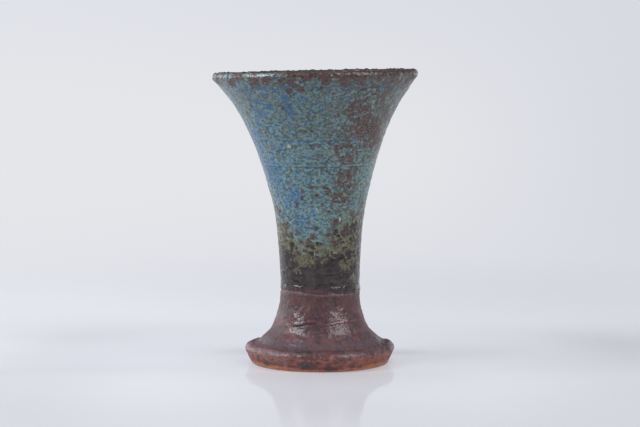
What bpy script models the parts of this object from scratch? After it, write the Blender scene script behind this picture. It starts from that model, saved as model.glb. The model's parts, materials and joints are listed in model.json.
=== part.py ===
"""Hand-thrown stoneware vase: a trumpet on a flared foot.

The vase is modelled as a potter builds it. Two thrown sections, the trumpet and the foot, are keyed
rim to rim and luted with slip. A wash colours the foot, a dark glaze covers the outside of the
trumpet, a second glaze runs down over the dark one, and a liner glaze covers the inside.

Metres, +Z up. The origin is the middle of the flat base, and -Y is the front.
"""

import math

import bmesh
import bpy
from mathutils import Vector

# Trumpet, on the finished surface
VASE_HEIGHT = 0.160
RIM_RADIUS = 0.0558
LIP_THICKNESS = 0.0044
LIP_LEAN = math.radians(37.5)
WAIST_RADIUS = 0.0217
STEM_LENGTH = 0.006
BORE_RADIUS = 0.0145

# Foot, on the finished surface
BASE_RADIUS = 0.0379
BASE_EDGE_ROUND = 0.0006
FLANGE_RADIUS = 0.0408
FLANGE_HEIGHT = 0.0074
FLANGE_ROUND_WIDTH = 0.0024
FLANGE_ROUND_HEIGHT = 0.0033
CREASE_WIDTH = 0.0011
CREASE_DEPTH = 0.0004
FOOT_TOP_HEIGHT = 0.038
FOOT_FLARE_POWER = 1.76
FLOOR_HEIGHT = 0.0108
FLOOR_ROUND = 0.006
WAIST_HEIGHT = FOOT_TOP_HEIGHT + STEM_LENGTH

# Luted joint between the two sections
JOINT_HEIGHT = 0.0236
SLIP_THICKNESS = 0.0010
KEY_HEIGHT = 0.0040
CLEARANCE = 0.0003

# Coats
WASH_THICKNESS = 0.0003
WASH_EDGE_HEIGHT = 0.0020
GLAZE_LINE_HEIGHT = 0.0393
BASE_GLAZE_THICKNESS = 0.00045
ROLL_HEIGHT = 0.0034
ROLL_DEPTH = 0.0004
TOP_GLAZE_THICKNESS = 0.00045
TOP_GLAZE_EDGE_THICKNESS = 0.00015
TOP_GLAZE_BELOW_RIM = 0.0065
LINER_THICKNESS = 0.00045
COATS_MEET_ANGLE = math.radians(100)

# Run edge of the top glaze: its mean height, and waves of (lobes, swing, angle of a high point)
RUN_MEAN_HEIGHT = 0.071
RUN_WAVES = (
    (1, 0.0030, math.radians(65)),
    (2, 0.0060, math.radians(155)),
    (7, 0.0012, math.radians(20)),
)
RUN_LEAST_LENGTH = 0.004

# Throwing rings and the line of the joint: their heights, and the groove that each of them leaves
RING_HEIGHTS = (JOINT_HEIGHT, 0.0630, 0.1090, 0.1234, 0.1512)
RING_WIDTH = 0.0018
RING_DEPTH = 0.0002

# Lean of the trumpet: how far its rim is off centre, and how far it is off level
RIM_SHIFT = -0.0026
RIM_TILT = math.radians(1.2)

# Fineness of the solids
SEGMENTS = 36
FLARE_STEPS = 9
FOOT_STEPS = 6
ARC_STEPS = 4
RUN_STEPS = 3
SMOOTH_ANGLE = math.radians(35)
MERGE_DISTANCE = 1e-6

# Finishes: colour and roughness
FINISHES = {
    "stoneware": ((0.42, 0.17, 0.075, 1), 0.85),
    "slip": ((0.33, 0.15, 0.08, 1), 0.9),
    "iron_wash": ((0.13, 0.055, 0.05, 1), 0.45),
    "dark_glaze": ((0.055, 0.045, 0.042, 1), 0.35),
    "turquoise_glaze": ((0.12, 0.24, 0.27, 1), 0.45),
    "liner_glaze": ((0.10, 0.19, 0.21, 1), 0.4),
}

# Outlines, as points of (radius, height) with the clay on the left going along


def arc(centre, half_axes, start, end, steps):
    """Points on an ellipse, from one angle to another."""
    turn = (end - start) / steps
    angles = [start + turn * k for k in range(steps + 1)]
    return [
        (centre[0] + half_axes[0] * math.cos(a), centre[1] + half_axes[1] * math.sin(a))
        for a in angles
    ]


def lip_arc(start, end):
    """Points on the rounded lip, from one angle to another."""
    half = LIP_THICKNESS / 2
    return arc((RIM_RADIUS - half, VASE_HEIGHT - half), (half, half), start, end, ARC_STEPS)


def flare(stem_radius, end):
    """A wall that leaves the stem upright at the waist and has the lean of the lip at its end."""
    spread = end[0] - stem_radius
    rise = end[1] - WAIST_HEIGHT
    power = math.tan(LIP_LEAN) * rise / spread
    shares = [k / FLARE_STEPS for k in range(FLARE_STEPS + 1)]
    return [(stem_radius + spread * s**power, WAIST_HEIGHT + rise * s) for s in shares]


def foot_curve(low, high):
    """The hollow curve of the foot, a quarter of a superellipse from the flange up to the stem."""
    turn = math.pi / 2 / FOOT_STEPS
    points = []
    for k in range(FOOT_STEPS + 1):
        across = math.sin(turn * k) ** (2 / FOOT_FLARE_POWER)
        down = math.cos(turn * k) ** (2 / FOOT_FLARE_POWER)
        points.append((low[0] + (high[0] - low[0]) * across, high[1] + (low[1] - high[1]) * down))
    return points


def wall_points():
    """The finished outside, from the edge of the base to the foot of the lip."""
    quarter = math.pi / 2
    edge_centre = (BASE_RADIUS - BASE_EDGE_ROUND, BASE_EDGE_ROUND)
    edge = arc(edge_centre, (BASE_EDGE_ROUND, BASE_EDGE_ROUND), -quarter, 0, 2)
    flange_centre = (FLANGE_RADIUS - FLANGE_ROUND_WIDTH, FLANGE_HEIGHT)
    flange = arc(flange_centre, (FLANGE_ROUND_WIDTH, FLANGE_ROUND_HEIGHT), 0, quarter, ARC_STEPS)
    crease = (flange[-1][0] - CREASE_WIDTH, flange[-1][1] - CREASE_DEPTH)
    foot = foot_curve(crease, (WAIST_RADIUS, FOOT_TOP_HEIGHT))
    trumpet = flare(WAIST_RADIUS, lip_arc(-LIP_LEAN, COATS_MEET_ANGLE)[0])
    return edge + flange + foot + trumpet[:-1]


def hollow_points():
    """The finished inside, from the foot of the lip to the middle of the floor."""
    trumpet = flare(BORE_RADIUS, lip_arc(COATS_MEET_ANGLE, math.pi - LIP_LEAN)[-1])
    corner_centre = (BORE_RADIUS - FLOOR_ROUND, FLOOR_HEIGHT + FLOOR_ROUND)
    corner = arc(corner_centre, (FLOOR_ROUND, FLOOR_ROUND), 0, -math.pi / 2, ARC_STEPS)
    return trumpet[-2::-1] + corner + [(0.0, FLOOR_HEIGHT)]


# Stations: points of an outline, each with the direction that faces away from the clay


def stations_of(points):
    """The points as stations. A tangent leans on the nearer neighbour, which is exact on an arc."""
    vectors = [Vector(point) for point in points]
    stations = []
    for k, point in enumerate(vectors):
        steps = [point - p for p in vectors[max(k - 1, 0):k]] + [p - point for p in vectors[k + 1:k + 2]]
        along = sum((step / step.length_squared for step in steps), Vector((0, 0))).normalized()
        stations.append((point, Vector((along.y, -along.x))))
    return stations


def finished_surface():
    """The stations of the outside wall, of the lip outside, and of the whole inside with its lip."""
    half_gap = CLEARANCE / LIP_THICKNESS
    wall = wall_points()
    lip = lip_arc(-LIP_LEAN, COATS_MEET_ANGLE - half_gap)
    inside = lip_arc(COATS_MEET_ANGLE + half_gap, math.pi - LIP_LEAN) + hollow_points()
    stations = stations_of(wall + lip + inside)
    return stations[:len(wall) + 1], stations[len(wall):-len(inside)], stations[-len(inside):]


def sunk(stations, depth):
    """The stations moved into the clay by a depth."""
    return [(point - facing * depth, facing) for point, facing in stations]


def cut_at(stations, height):
    """A station at a height, on the straight run between its two neighbours."""
    for (low, low_facing), (high, high_facing) in zip(stations, stations[1:]):
        if low.y <= height <= high.y:
            share = (height - low.y) / (high.y - low.y)
            return low.lerp(high, share), low_facing.lerp(high_facing, share).normalized()
    raise ValueError(f"the outline doesn't reach a height of {height}")


def between(stations, low, high):
    """The stations of a rising outline between two heights, with one exactly at each height."""
    inner = [s for s in stations if low + CLEARANCE / 2 < s[0].y < high - CLEARANCE / 2]
    return [cut_at(stations, low)] + inner + [cut_at(stations, high)]


def above(stations, low):
    """The stations of a rising outline from a height on, with one exactly at that height."""
    return between(stations, low, stations[-1][0].y)


def with_rings(stations):
    """The stations of a rising outline with a shallow groove at each ring on it."""
    low, high = stations[0][0].y, stations[-1][0].y
    made = stations
    for height in RING_HEIGHTS:
        if low + RING_WIDTH < height < high - RING_WIDTH:
            sides = [cut_at(stations, height + side * RING_WIDTH / 2) for side in (-1, 1)]
            bottom = sunk([cut_at(stations, height)], RING_DEPTH)
            before = [s for s in made if s[0].y < height - RING_WIDTH]
            after = [s for s in made if s[0].y > height + RING_WIDTH]
            made = before + sides[:1] + bottom + sides[1:] + after
    return made


def with_roll(stations):
    """The stations of a rising outline with the rounded roll in which a glaze ends, at its foot."""
    low = stations[0][0].y
    made = stations[:1]
    for k in range(1, ARC_STEPS):
        share = k / ARC_STEPS
        station = cut_at(stations, low + ROLL_HEIGHT * share)
        made += sunk([station], -ROLL_DEPTH * math.sin(math.pi * share))
    return made + above(stations, low + ROLL_HEIGHT)


def points_of(*runs):
    """The points of one or more runs of stations, joined into a profile."""
    return [point for run in runs for point, _ in run]


# Solids


def make_material(name):
    """A Principled BSDF material with the colour and roughness of one finish."""
    colour, roughness = FINISHES[name]
    material = bpy.data.materials.new(name)
    material.use_nodes = True
    shader = material.node_tree.nodes["Principled BSDF"]
    shader.inputs["Base Color"].default_value = colour
    shader.inputs["Roughness"].default_value = roughness
    shader.inputs["Metallic"].default_value = 0.0
    return material


def settle(point):
    """The place of a point once the trumpet has leaned over above its waist."""
    share = max(0.0, (point.z - WAIST_HEIGHT) / (VASE_HEIGHT - WAIST_HEIGHT)) ** 2
    lift = point.x * math.tan(RIM_TILT) * share
    return Vector((point.x + RIM_SHIFT * share, point.y, point.z + lift))


def finish(bm, name, finish_name):
    """Turns a bmesh into a named, smooth-shaded object with one finish."""
    bmesh.ops.remove_doubles(bm, verts=bm.verts, dist=MERGE_DISTANCE)
    bmesh.ops.recalc_face_normals(bm, faces=bm.faces)
    for vert in bm.verts:
        vert.co = settle(vert.co)
    mesh = bpy.data.meshes.new(name)
    bm.to_mesh(mesh)
    bm.free()
    mesh.shade_smooth()
    mesh.set_sharp_from_angle(angle=SMOOTH_ANGLE)
    mesh.materials.append(make_material(finish_name))
    bpy.context.scene.collection.objects.link(bpy.data.objects.new(name, mesh))


def revolve(name, profile, finish_name, closed=True):
    """A solid of revolution. A profile that isn't closed has both its ends on the axis."""
    bm = bmesh.new()
    verts = [bm.verts.new((radius, 0, height)) for radius, height in profile]
    edges = [bm.edges.new(pair) for pair in zip(verts, verts[1:])]
    if closed:
        edges.append(bm.edges.new((verts[-1], verts[0])))
    bmesh.ops.spin(
        bm,
        geom=verts + edges,
        cent=(0, 0, 0),
        axis=(0, 0, 1),
        angle=math.tau,
        steps=SEGMENTS,
    )
    finish(bm, name, finish_name)


def loft(name, profile_at, finish_name):
    """A ring whose closed profile changes with the angle round the vase."""
    bm = bmesh.new()
    loops = []
    for k in range(SEGMENTS):
        angle = math.tau * k / SEGMENTS
        x, y = math.cos(angle), math.sin(angle)
        loops.append([bm.verts.new((r * x, r * y, height)) for r, height in profile_at(angle)])
    for loop, following in zip(loops, loops[1:] + loops[:1]):
        for k in range(len(loop)):
            bm.faces.new((loop[k - 1], loop[k], following[k], following[k - 1]))
    finish(bm, name, finish_name)


# Pieces


def key_radius(wall):
    """The outside of the foot's key, half way through the clay at the level of its top."""
    well = BORE_RADIUS + LINER_THICKNESS + CLEARANCE
    stem, _ = cut_at(sunk(wall, WASH_THICKNESS + CLEARANCE), JOINT_HEIGHT + KEY_HEIGHT)
    return (well + stem.x) / 2


def flared_foot(wall, inside):
    """The lower section: a cup with a thick floor, and a raised key on its rim."""
    wash_edge = WASH_EDGE_HEIGHT - CLEARANCE
    shoulder = JOINT_HEIGHT - SLIP_THICKNESS / 2 - CLEARANCE
    key_top = JOINT_HEIGHT + KEY_HEIGHT
    coated = sunk(wall, WASH_THICKNESS + CLEARANCE)
    well = points_of(sunk(inside, LINER_THICKNESS + CLEARANCE))
    well = [point for point in well if point.y < shoulder]
    radius = key_radius(wall)
    key = [(radius, shoulder), (radius, key_top), (well[0].x, key_top)]
    outside = points_of(between(wall, 0, wash_edge), between(coated, wash_edge, shoulder))
    revolve("flared_foot", [(0, 0)] + outside + key + well, "stoneware", closed=False)


def luting_slip(wall):
    """The ring of slip on the shoulder of the foot, round its key."""
    low = JOINT_HEIGHT - SLIP_THICKNESS / 2
    high = JOINT_HEIGHT + SLIP_THICKNESS / 2
    outside = points_of(between(sunk(wall, WASH_THICKNESS + CLEARANCE), low, high))
    radius = key_radius(wall) + CLEARANCE
    revolve("luting_slip", [(radius, low)] + outside + [(radius, high)], "slip")


def trumpet_body(wall, lip, inside):
    """The upper section: an open tube that flares to the lip, rebated over the foot's key."""
    bottom = JOINT_HEIGHT + SLIP_THICKNESS / 2 + CLEARANCE
    rebate_top = JOINT_HEIGHT + KEY_HEIGHT + CLEARANCE
    rebate_radius = key_radius(wall) + CLEARANCE
    stem = between(sunk(wall, WASH_THICKNESS + CLEARANCE), bottom, GLAZE_LINE_HEIGHT - CLEARANCE)
    glaze_depth = BASE_GLAZE_THICKNESS + CLEARANCE
    trumpet = above(sunk(wall, glaze_depth), GLAZE_LINE_HEIGHT) + sunk(lip, glaze_depth)[1:]
    hollow = points_of(sunk(inside, LINER_THICKNESS + CLEARANCE))
    hollow = [point for point in hollow if point.y > rebate_top]
    rebate = [(hollow[-1].x, rebate_top), (rebate_radius, rebate_top), (rebate_radius, bottom)]
    revolve("trumpet_body", points_of(stem, trumpet) + hollow + rebate, "stoneware")


def foot_wash(wall):
    """The thin wash over the stem and the foot, which shows the line of the joint."""
    shown = between(wall, WASH_EDGE_HEIGHT, GLAZE_LINE_HEIGHT - CLEARANCE)
    backing = sunk(shown, WASH_THICKNESS)[::-1]
    revolve("foot_wash", points_of(with_rings(shown), backing), "iron_wash")


def base_glaze(wall, lip):
    """The dark glaze, from the roll at the glaze line up over the lip."""
    trumpet = above(wall, GLAZE_LINE_HEIGHT)
    backing = sunk(trumpet + lip[1:], BASE_GLAZE_THICKNESS)[::-1]
    revolve("base_glaze", points_of(with_rings(with_roll(trumpet)), lip[1:], backing), "dark_glaze")


def run_height(angle):
    """The height at which the top glaze stopped running, at an angle round the vase."""
    waves = [swing * math.cos(lobes * (angle - high)) for lobes, swing, high in RUN_WAVES]
    return RUN_MEAN_HEIGHT + sum(waves)


def top_glaze(wall):
    """The glaze that runs down over the dark one, thinned out at both its edges."""
    steady_low = RUN_MEAN_HEIGHT + sum(swing for _, swing, _ in RUN_WAVES) + RUN_LEAST_LENGTH
    steady = between(wall, steady_low, VASE_HEIGHT - TOP_GLAZE_BELOW_RIM)
    thick = -CLEARANCE - TOP_GLAZE_THICKNESS
    thin = -CLEARANCE - TOP_GLAZE_EDGE_THICKNESS

    def profile_at(angle):
        low = run_height(angle)
        step = (steady_low - low) / RUN_STEPS
        running = [cut_at(wall, low + step * k) for k in range(RUN_STEPS)]
        shown = sunk(running[:1], thin) + sunk(running[1:] + with_rings(steady)[:-1], thick)
        backing = sunk(running + steady, -CLEARANCE)[::-1]
        return points_of(shown, sunk(steady[-1:], thin), backing)

    loft("top_glaze", profile_at, "turquoise_glaze")


def liner_glaze(inside):
    """The glaze poured inside, from the lip down to the floor."""
    backing = sunk(inside, LINER_THICKNESS)
    revolve("liner_glaze", points_of(inside[::-1], backing), "liner_glaze", closed=False)


def main():
    for obj in list(bpy.data.objects):
        bpy.data.objects.remove(obj)
    wall, lip, inside = finished_surface()
    flared_foot(wall, inside)
    luting_slip(wall)
    trumpet_body(wall, lip, inside)
    foot_wash(wall)
    base_glaze(wall, lip)
    top_glaze(wall)
    liner_glaze(inside)


main()
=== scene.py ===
"""Hand-thrown stoneware vase: the fired surfaces of its coats and clay, and a pale studio round it."""

import json
import math

import bpy
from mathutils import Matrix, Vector

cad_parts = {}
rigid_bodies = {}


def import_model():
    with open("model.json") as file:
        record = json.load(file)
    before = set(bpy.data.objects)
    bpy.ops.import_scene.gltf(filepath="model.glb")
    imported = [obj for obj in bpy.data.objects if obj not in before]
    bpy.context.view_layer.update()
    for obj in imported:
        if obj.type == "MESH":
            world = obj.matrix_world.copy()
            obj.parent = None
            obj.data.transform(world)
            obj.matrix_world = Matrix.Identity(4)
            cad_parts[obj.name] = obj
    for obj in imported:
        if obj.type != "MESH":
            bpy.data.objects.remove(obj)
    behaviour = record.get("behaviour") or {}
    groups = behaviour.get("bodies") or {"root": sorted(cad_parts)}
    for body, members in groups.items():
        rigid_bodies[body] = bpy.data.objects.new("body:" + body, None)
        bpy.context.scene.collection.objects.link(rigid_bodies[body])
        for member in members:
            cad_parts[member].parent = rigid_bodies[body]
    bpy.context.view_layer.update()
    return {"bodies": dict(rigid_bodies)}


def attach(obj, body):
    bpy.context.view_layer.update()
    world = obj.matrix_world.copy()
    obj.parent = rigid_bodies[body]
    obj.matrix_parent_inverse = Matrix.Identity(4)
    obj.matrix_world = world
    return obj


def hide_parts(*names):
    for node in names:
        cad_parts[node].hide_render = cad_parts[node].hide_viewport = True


bl_info = {
    "name": "Stoneware Vase",
    "version": (1, 0, 0),
    "blender": (4, 5, 0),
    "location": "View3D > Sidebar > Vase",
    "description": "Throws a stoneware vase, fires its glazes and sets it in a pale studio",
    "category": "Object",
}

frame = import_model()
BODY = next(iter(frame["bodies"]))
MM = 0.001

# Outlines are points of radius and height in millimetres. This is the finished outside as the potter's
# hands left it, from the edge of the base to the foot of the lip.
OUTLINE = (
    (36.9, 0.0), (37.55, 0.25), (39.25, 4.0), (40.8, 7.8), (39.9, 9.7), (37.9, 10.95), (37.0, 11.0),
    (36.4, 10.9), (33.3, 12.75), (27.6, 18.0), (26.3, 20.0), (25.4, 22.0), (24.05, 26.0), (22.35, 32.0),
    (21.85, 37.5), (21.7, 46.0), (22.85, 68.0), (25.15, 86.0), (28.0, 98.0), (32.0, 112.0), (39.6, 132.0),
    (45.2, 142.4), (51.0, 150.3), (53.4, 153.7),
)

# The inside, from the foot of the lip to the middle of the floor
HOLLOW = (
    (49.6, 156.0), (46.8, 151.6), (38.6, 138.0), (29.4, 118.0), (21.6, 93.0), (16.6, 66.0), (14.6, 44.0),
    (14.45, 18.0), (13.6, 14.2), (11.8, 12.0), (9.0, 11.0), (0.0, 10.8),
)

# The lip: its middle, and half its thickness with and without glaze. The angles are in degrees: the lean of
# the wall below it, and where the glazes of the outside and of the inside meet, with half their gap.
LIP_MIDDLE = (53.6, 157.8)
LIP_HALF = 2.2
LIP_CLAY_HALF = 1.4
LIP_LEAN = 37.5
COATS_MEET = 100.0
COATS_HALF_GAP = 0.4

# The trumpet leans more and more from the waist to the rim
WAIST = 44.0
RIM = 160.0

# The wash starts above a bare edge, reaches its thickness, and tucks in under the glaze
WASH_EDGE = 0.7
WASH_FULL = 1.5
WASH_TOP = 42.0
TUCK_START = 39.0
TUCK_END = 41.5
TUCK_DEPTH = 0.45

# The lower edge of the dark glaze, and the bearing at which it drew up into a bead
GLAZE_LINE = 39.3
BEAD_BEARING = math.radians(27)

# Where the glaze over it stopped running: the mean height, the height over which it thins out, how much
# higher it stopped at the left, and waves round the vase, each of lobes, swing and the angle of a crest
RUN_HEIGHT = 71.0
RUN_FADE = 20.0
RUN_LEFT_RISE = 9.0
RUN_WAVES = ((1, 3.0, 65), (2, 6.0, 155))

# Inside the joint: the slip, the key on the foot's rim, the well within it, and the gaps between them. The
# clay lies a little deeper than the backs of its coats.
SLIP_LOW = 23.1
SLIP_HIGH = 24.1
SLIP_GAP = 0.05
KEY_RADIUS = 18.6
KEY_TOP = 27.6
KEY_GAP = 0.3
WELL_RADIUS = 15.25
WELL_STEP = 0.6
UNDER_WASH_GAP = 0.25
UNDER_GLAZE_GAP = 0.3

# Between these heights, the clay steps back from the bed of the wash to that of the glaze
WASH_BED_TOP = 38.5
GLAZE_BED_LOW = 39.5

# Rings of points on the flat base
BASE_RINGS = (0.0, 8.0, 16.0, 24.0, 30.0, 34.0)

# Lines that the fingers left while the wall was pulled up: height, and the angles from the front at which
# each begins and ends
THROWING_LINES = (
    (151.2, -70, 75), (123.4, -65, 50), (109.1, -70, 60), (76.0, -30, 15), (63.0, -15, 80), (51.2, -5, 60),
    (139.0, 120, 220), (95.0, 100, 190), (118.0, 140, 250), (70.0, 150, 260), (56.5, 110, 200),
)

# The line of the joint round the foot: angle from the front, height, and how far it gapes. It stays between
# the two heights below.
JOINT_LINE = (
    (-180, 23.6, 0.1), (-130, 23.9, 0.3), (-90, 23.4, 0.1), (-60, 22.8, 0.15), (-46, 22.5, 0.05),
    (-35, 22.5, 0.75), (-19, 23.5, 0.9), (-8, 24.3, 0.7), (-1, 24.2, 0.2), (7, 23.6, 0.0), (26, 24.4, 0.0),
    (51, 24.7, 0.0), (90, 24.2, 0.25), (130, 23.3, 0.5), (180, 23.6, 0.1),
)
JOINT_LOW = 20.0
JOINT_HIGH = 28.0

# Patches on the wall: angle from the front in degrees, height and radius, and reach across and up, in mm
BLUE_POOLS = (
    (-73, 120, 35, 13, 22), (-46, 139, 43, 7, 8), (-7, 146.5, 48.2, 2.6, 2.6), (-58, 105, 30, 14, 14),
    (-30, 92, 27, 10, 10), (-22, 77, 24, 11, 11), (150, 130, 39, 25, 25), (170, 90, 26, 25, 20),
)
BLUE_RUNS = (
    (-20, 146, 47.6, 3.2, 5.5), (-19, 140.2, 44, 4.2, 6.2), (-42, 144.4, 46.4, 3.6, 3.2),
    (-35, 141.5, 45, 3.6, 3.0), (-50, 131.5, 39.6, 3.8, 2.4), (-62, 127, 37.6, 4.5, 3.2),
    (140, 138, 43, 5, 8),
)
BROWN_PATCHES = (
    (42, 130, 38.5, 16, 15), (32, 142, 45, 14, 9), (62, 125, 36, 12, 12), (30, 108, 31, 8, 10),
    (24, 93, 27, 6.5, 7.5), (170, 118, 34, 26, 22), (-140, 140, 44, 22, 14),
)
BROWN_SPOTS = (
    (-16, 150.1, 51, 2.8, 2.4), (-9, 150.8, 51.5, 3, 2.6), (11, 148.5, 49.8, 1.9, 1.7),
    (-23, 141, 44.5, 1.8, 2.6), (-11, 128.4, 38, 2.4, 1.6), (-5, 128.9, 38.2, 2, 1.6),
    (-5, 121.1, 35.2, 2.6, 1.4), (1, 121, 35.2, 2.4, 1.7), (10, 122.5, 35.7, 1.8, 1.7),
    (16, 119, 34.4, 2, 3.6), (10, 95.9, 27.5, 2.2, 3.6), (6, 98, 28, 1.8, 1.6), (-8, 98.3, 28, 2, 1.8),
    (4, 88.7, 25.7, 1.8, 1.4), (-20, 92.5, 26.6, 1.4, 2.8), (-28, 87.6, 25.5, 1.4, 2.8),
    (22, 90.5, 26.2, 3.5, 1.3), (-9, 71.4, 23.1, 2.8, 2.4), (11, 85, 25.1, 1.4, 1.2),
    (120, 131, 38.5, 2.6, 2.2), (165, 96, 27.5, 2.2, 3), (-120, 112, 32, 2.4, 2.2),
)
# Pale spots in the glaze, painted in the milk colour. Those at -3 and 27 degrees are painted glints.
PALE_SPOTS_AND_GLINTS = (
    (-26, 120.5, 35.2, 1.7, 1.9), (-3, 86.3, 25.4, 0.9, 1.1), (27, 80.5, 24.3, 0.8, 1.7),
    (160, 103, 29.5, 1.5, 1.5),
)
LOW_RUNS = (
    (48, 62, 22.3, 13, 15), (58, 47, 21.8, 8, 6), (-58, 70, 22.8, 13, 16), (15, 64, 22.5, 10, 9),
    (-88, 76, 23.5, 9, 9), (150, 66, 22.8, 9, 9), (-165, 58, 22.3, 8, 8), (-110, 64, 22.7, 9, 10),
)
ISLETS = ((58, 47, 21.8, 8, 6), (-22, 59, 22.4, 9, 6), (40, 55, 22.1, 7, 5), (-35, 52, 22, 5, 3))
DARK_STAINS = (
    (-12, 3.4, 39, 6.5, 2.8), (8, 2.0, 38.5, 3.4, 1.9), (-48, 3, 39, 4, 2.4), (33, 2.4, 38.5, 2.6, 1.6),
    (140, 4, 39, 9, 3), (-120, 3, 39, 7, 3),
)

# Faces once round the pieces that are plainer than the glaze
LINER_COLUMNS = 256
WASH_COLUMNS = 380
FOOT_COLUMNS = 256
CLAY_COLUMNS = 96

# How much of its bake map a hidden stretch gets, beside one that shows
HIDDEN_SHARE = 0.06

# Room for a node in a tree that is laid out
COLUMN_WIDTH = 220
ROW_HEIGHT = 190

WALL_TREE = "Thrown wall"
SHARP_ANGLE = math.radians(62)
MERGE_DISTANCE = 1e-6
BUMP_REACH = 0.2 * MM

# The floor, in metres: a ring that is open under the vase. Every lamp is aimed at the same point.
FLOOR_RADII = (2.6, 0.0366)
FLOOR_SIDES = 96
LAMP_AIM = Vector((0, 0, 0.07))
SENSOR_WIDTH = 36


def length(name, description, value):
    """A small length in millimetres that the user can change."""
    return bpy.props.FloatProperty(
        name=name, description=description, default=value * MM, unit="LENGTH", precision=5)


def power(name, description, value):
    """The power of a lamp, which the user can change."""
    return bpy.props.FloatProperty(name=name, description=description, default=value, unit="POWER")


def colour(name, description, value):
    """A colour that the user can change."""
    return bpy.props.FloatVectorProperty(
        name=name, description=description, default=value, subtype="COLOR", size=3, min=0, max=1)


class VaseSizes(bpy.types.PropertyGroup):
    """Sizes of the fired surface, all of them small beside the vase itself."""

    glaze_thickness: length("Glaze Thickness", "Thickness of the glazes outside and of the liner", 0.45)
    wash_thickness: length("Wash Thickness", "Thickness of the wash on the foot", 0.3)
    swell_height: length("Swell Height", "How far the hand-made wall swells in and out", 0.22)
    lump_height: length("Lump Height", "Height of the lumps in the glaze and the wash", 0.16)
    glaze_lumps: length("Glaze Lumps", "Width of the lumps in the glaze", 2.6)
    wash_lumps: length("Wash Lumps", "Width of the lumps in the wash", 2.5)
    grain_height: length("Grain Height", "Height of the grain between the lumps", 0.048)
    ring_depth: length("Ring Depth", "Depth of the throwing lines", 0.3)
    spiral_depth: length("Spiral Depth", "Depth of the spiral that the fingers left inside", 0.16)
    crust_height: length("Crust Height", "Height of the beads of glaze on the lip", 0.6)
    roll_height: length("Roll Height", "How far the lower edge of the glaze stands proud", 0.26)
    edge_sway: length("Edge Sway", "How far the lower edge of the glaze goes up and down", 0.8)
    joint_depth: length("Joint Depth", "Depth of the gap along the luted joint", 0.65)
    flange_lumps: length("Flange Lumps", "Height of the dents and lumps of the flange", 0.55)
    rim_shift: length("Rim Shift", "How far the rim is off the middle, to the right", -2.6)
    rim_tilt: bpy.props.FloatProperty(
        name="Rim Tilt", description="How far the rim is off level, up to the right",
        default=math.radians(1.2), subtype="ANGLE")
    columns: bpy.props.IntProperty(
        name="Columns", description="Faces once round the outside of the glaze", default=420, min=48, max=440)


class VaseColours(bpy.types.PropertyGroup):
    """Colours of the fired finishes."""

    turquoise: colour("Turquoise", "Ground of the top glaze", (0.188, 0.312, 0.316))
    deep_teal: colour("Deep Teal", "Thicker spots of the top glaze", (0.024, 0.074, 0.093))
    grey_olive: colour("Grey Olive", "Greyer net of the top glaze", (0.168, 0.188, 0.150))
    blue: colour("Blue", "Pooled glaze", (0.011, 0.088, 0.210))
    sky: colour("Sky", "Paler glaze between the pools", (0.138, 0.246, 0.328))
    # Milk also paints two small glints on the wall.
    milk: colour("Milk", "Spots where the glaze crawled", (0.420, 0.500, 0.490))
    sea_green: colour("Sea Green", "Fringe of the top glaze", (0.120, 0.165, 0.130))
    brown: colour("Brown", "Iron that broke through the top glaze", (0.126, 0.074, 0.068))
    dark_brown: colour("Dark Brown", "Darker iron in the top glaze", (0.048, 0.025, 0.025))
    umber: colour("Umber", "Olive brown freckles", (0.085, 0.068, 0.054))
    olive: colour("Olive", "Where the two glazes melted together", (0.165, 0.158, 0.082))
    charcoal: colour("Charcoal", "Ground of the dark glaze", (0.040, 0.032, 0.037))
    iron_black: colour("Iron Black", "Darkest streaks of the dark glaze", (0.018, 0.013, 0.012))
    plum: colour("Plum", "Ground of the wash", (0.100, 0.045, 0.054))
    # Dusk is also painted shade on the right side of the foot.
    dusk_and_shade: colour("Dusk", "Greyer veil over the wash", (0.058, 0.036, 0.047))
    # Ash also paints the left of the slope lighter, as painted light.
    ash_and_sheen: colour("Ash", "Ashy bloom on the slope of the foot", (0.074, 0.058, 0.070))
    maroon: colour("Maroon", "Darker iron on the bevel", (0.098, 0.027, 0.027))
    red_iron: colour("Red Iron", "Redder iron in the wash", (0.150, 0.054, 0.053))
    # Blush also paints a sheen on the left of the flange's roll.
    blush_and_sheen: colour("Blush", "Pinker bloom where the wash is thin", (0.260, 0.135, 0.150))
    rust: colour("Rust", "Iron on the bevel of the foot", (0.265, 0.074, 0.052))
    crumb: colour("Crumb", "Pale crumbs of clay on the bevel", (0.480, 0.260, 0.170))
    bare_clay: colour("Bare Clay", "Clay without a coat", (0.420, 0.180, 0.085))
    clay_iron: colour("Clay Iron", "Iron specks in the bare clay", (0.060, 0.030, 0.022))
    grog: colour("Grog", "Pale grains in the bare clay", (0.550, 0.360, 0.240))


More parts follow.
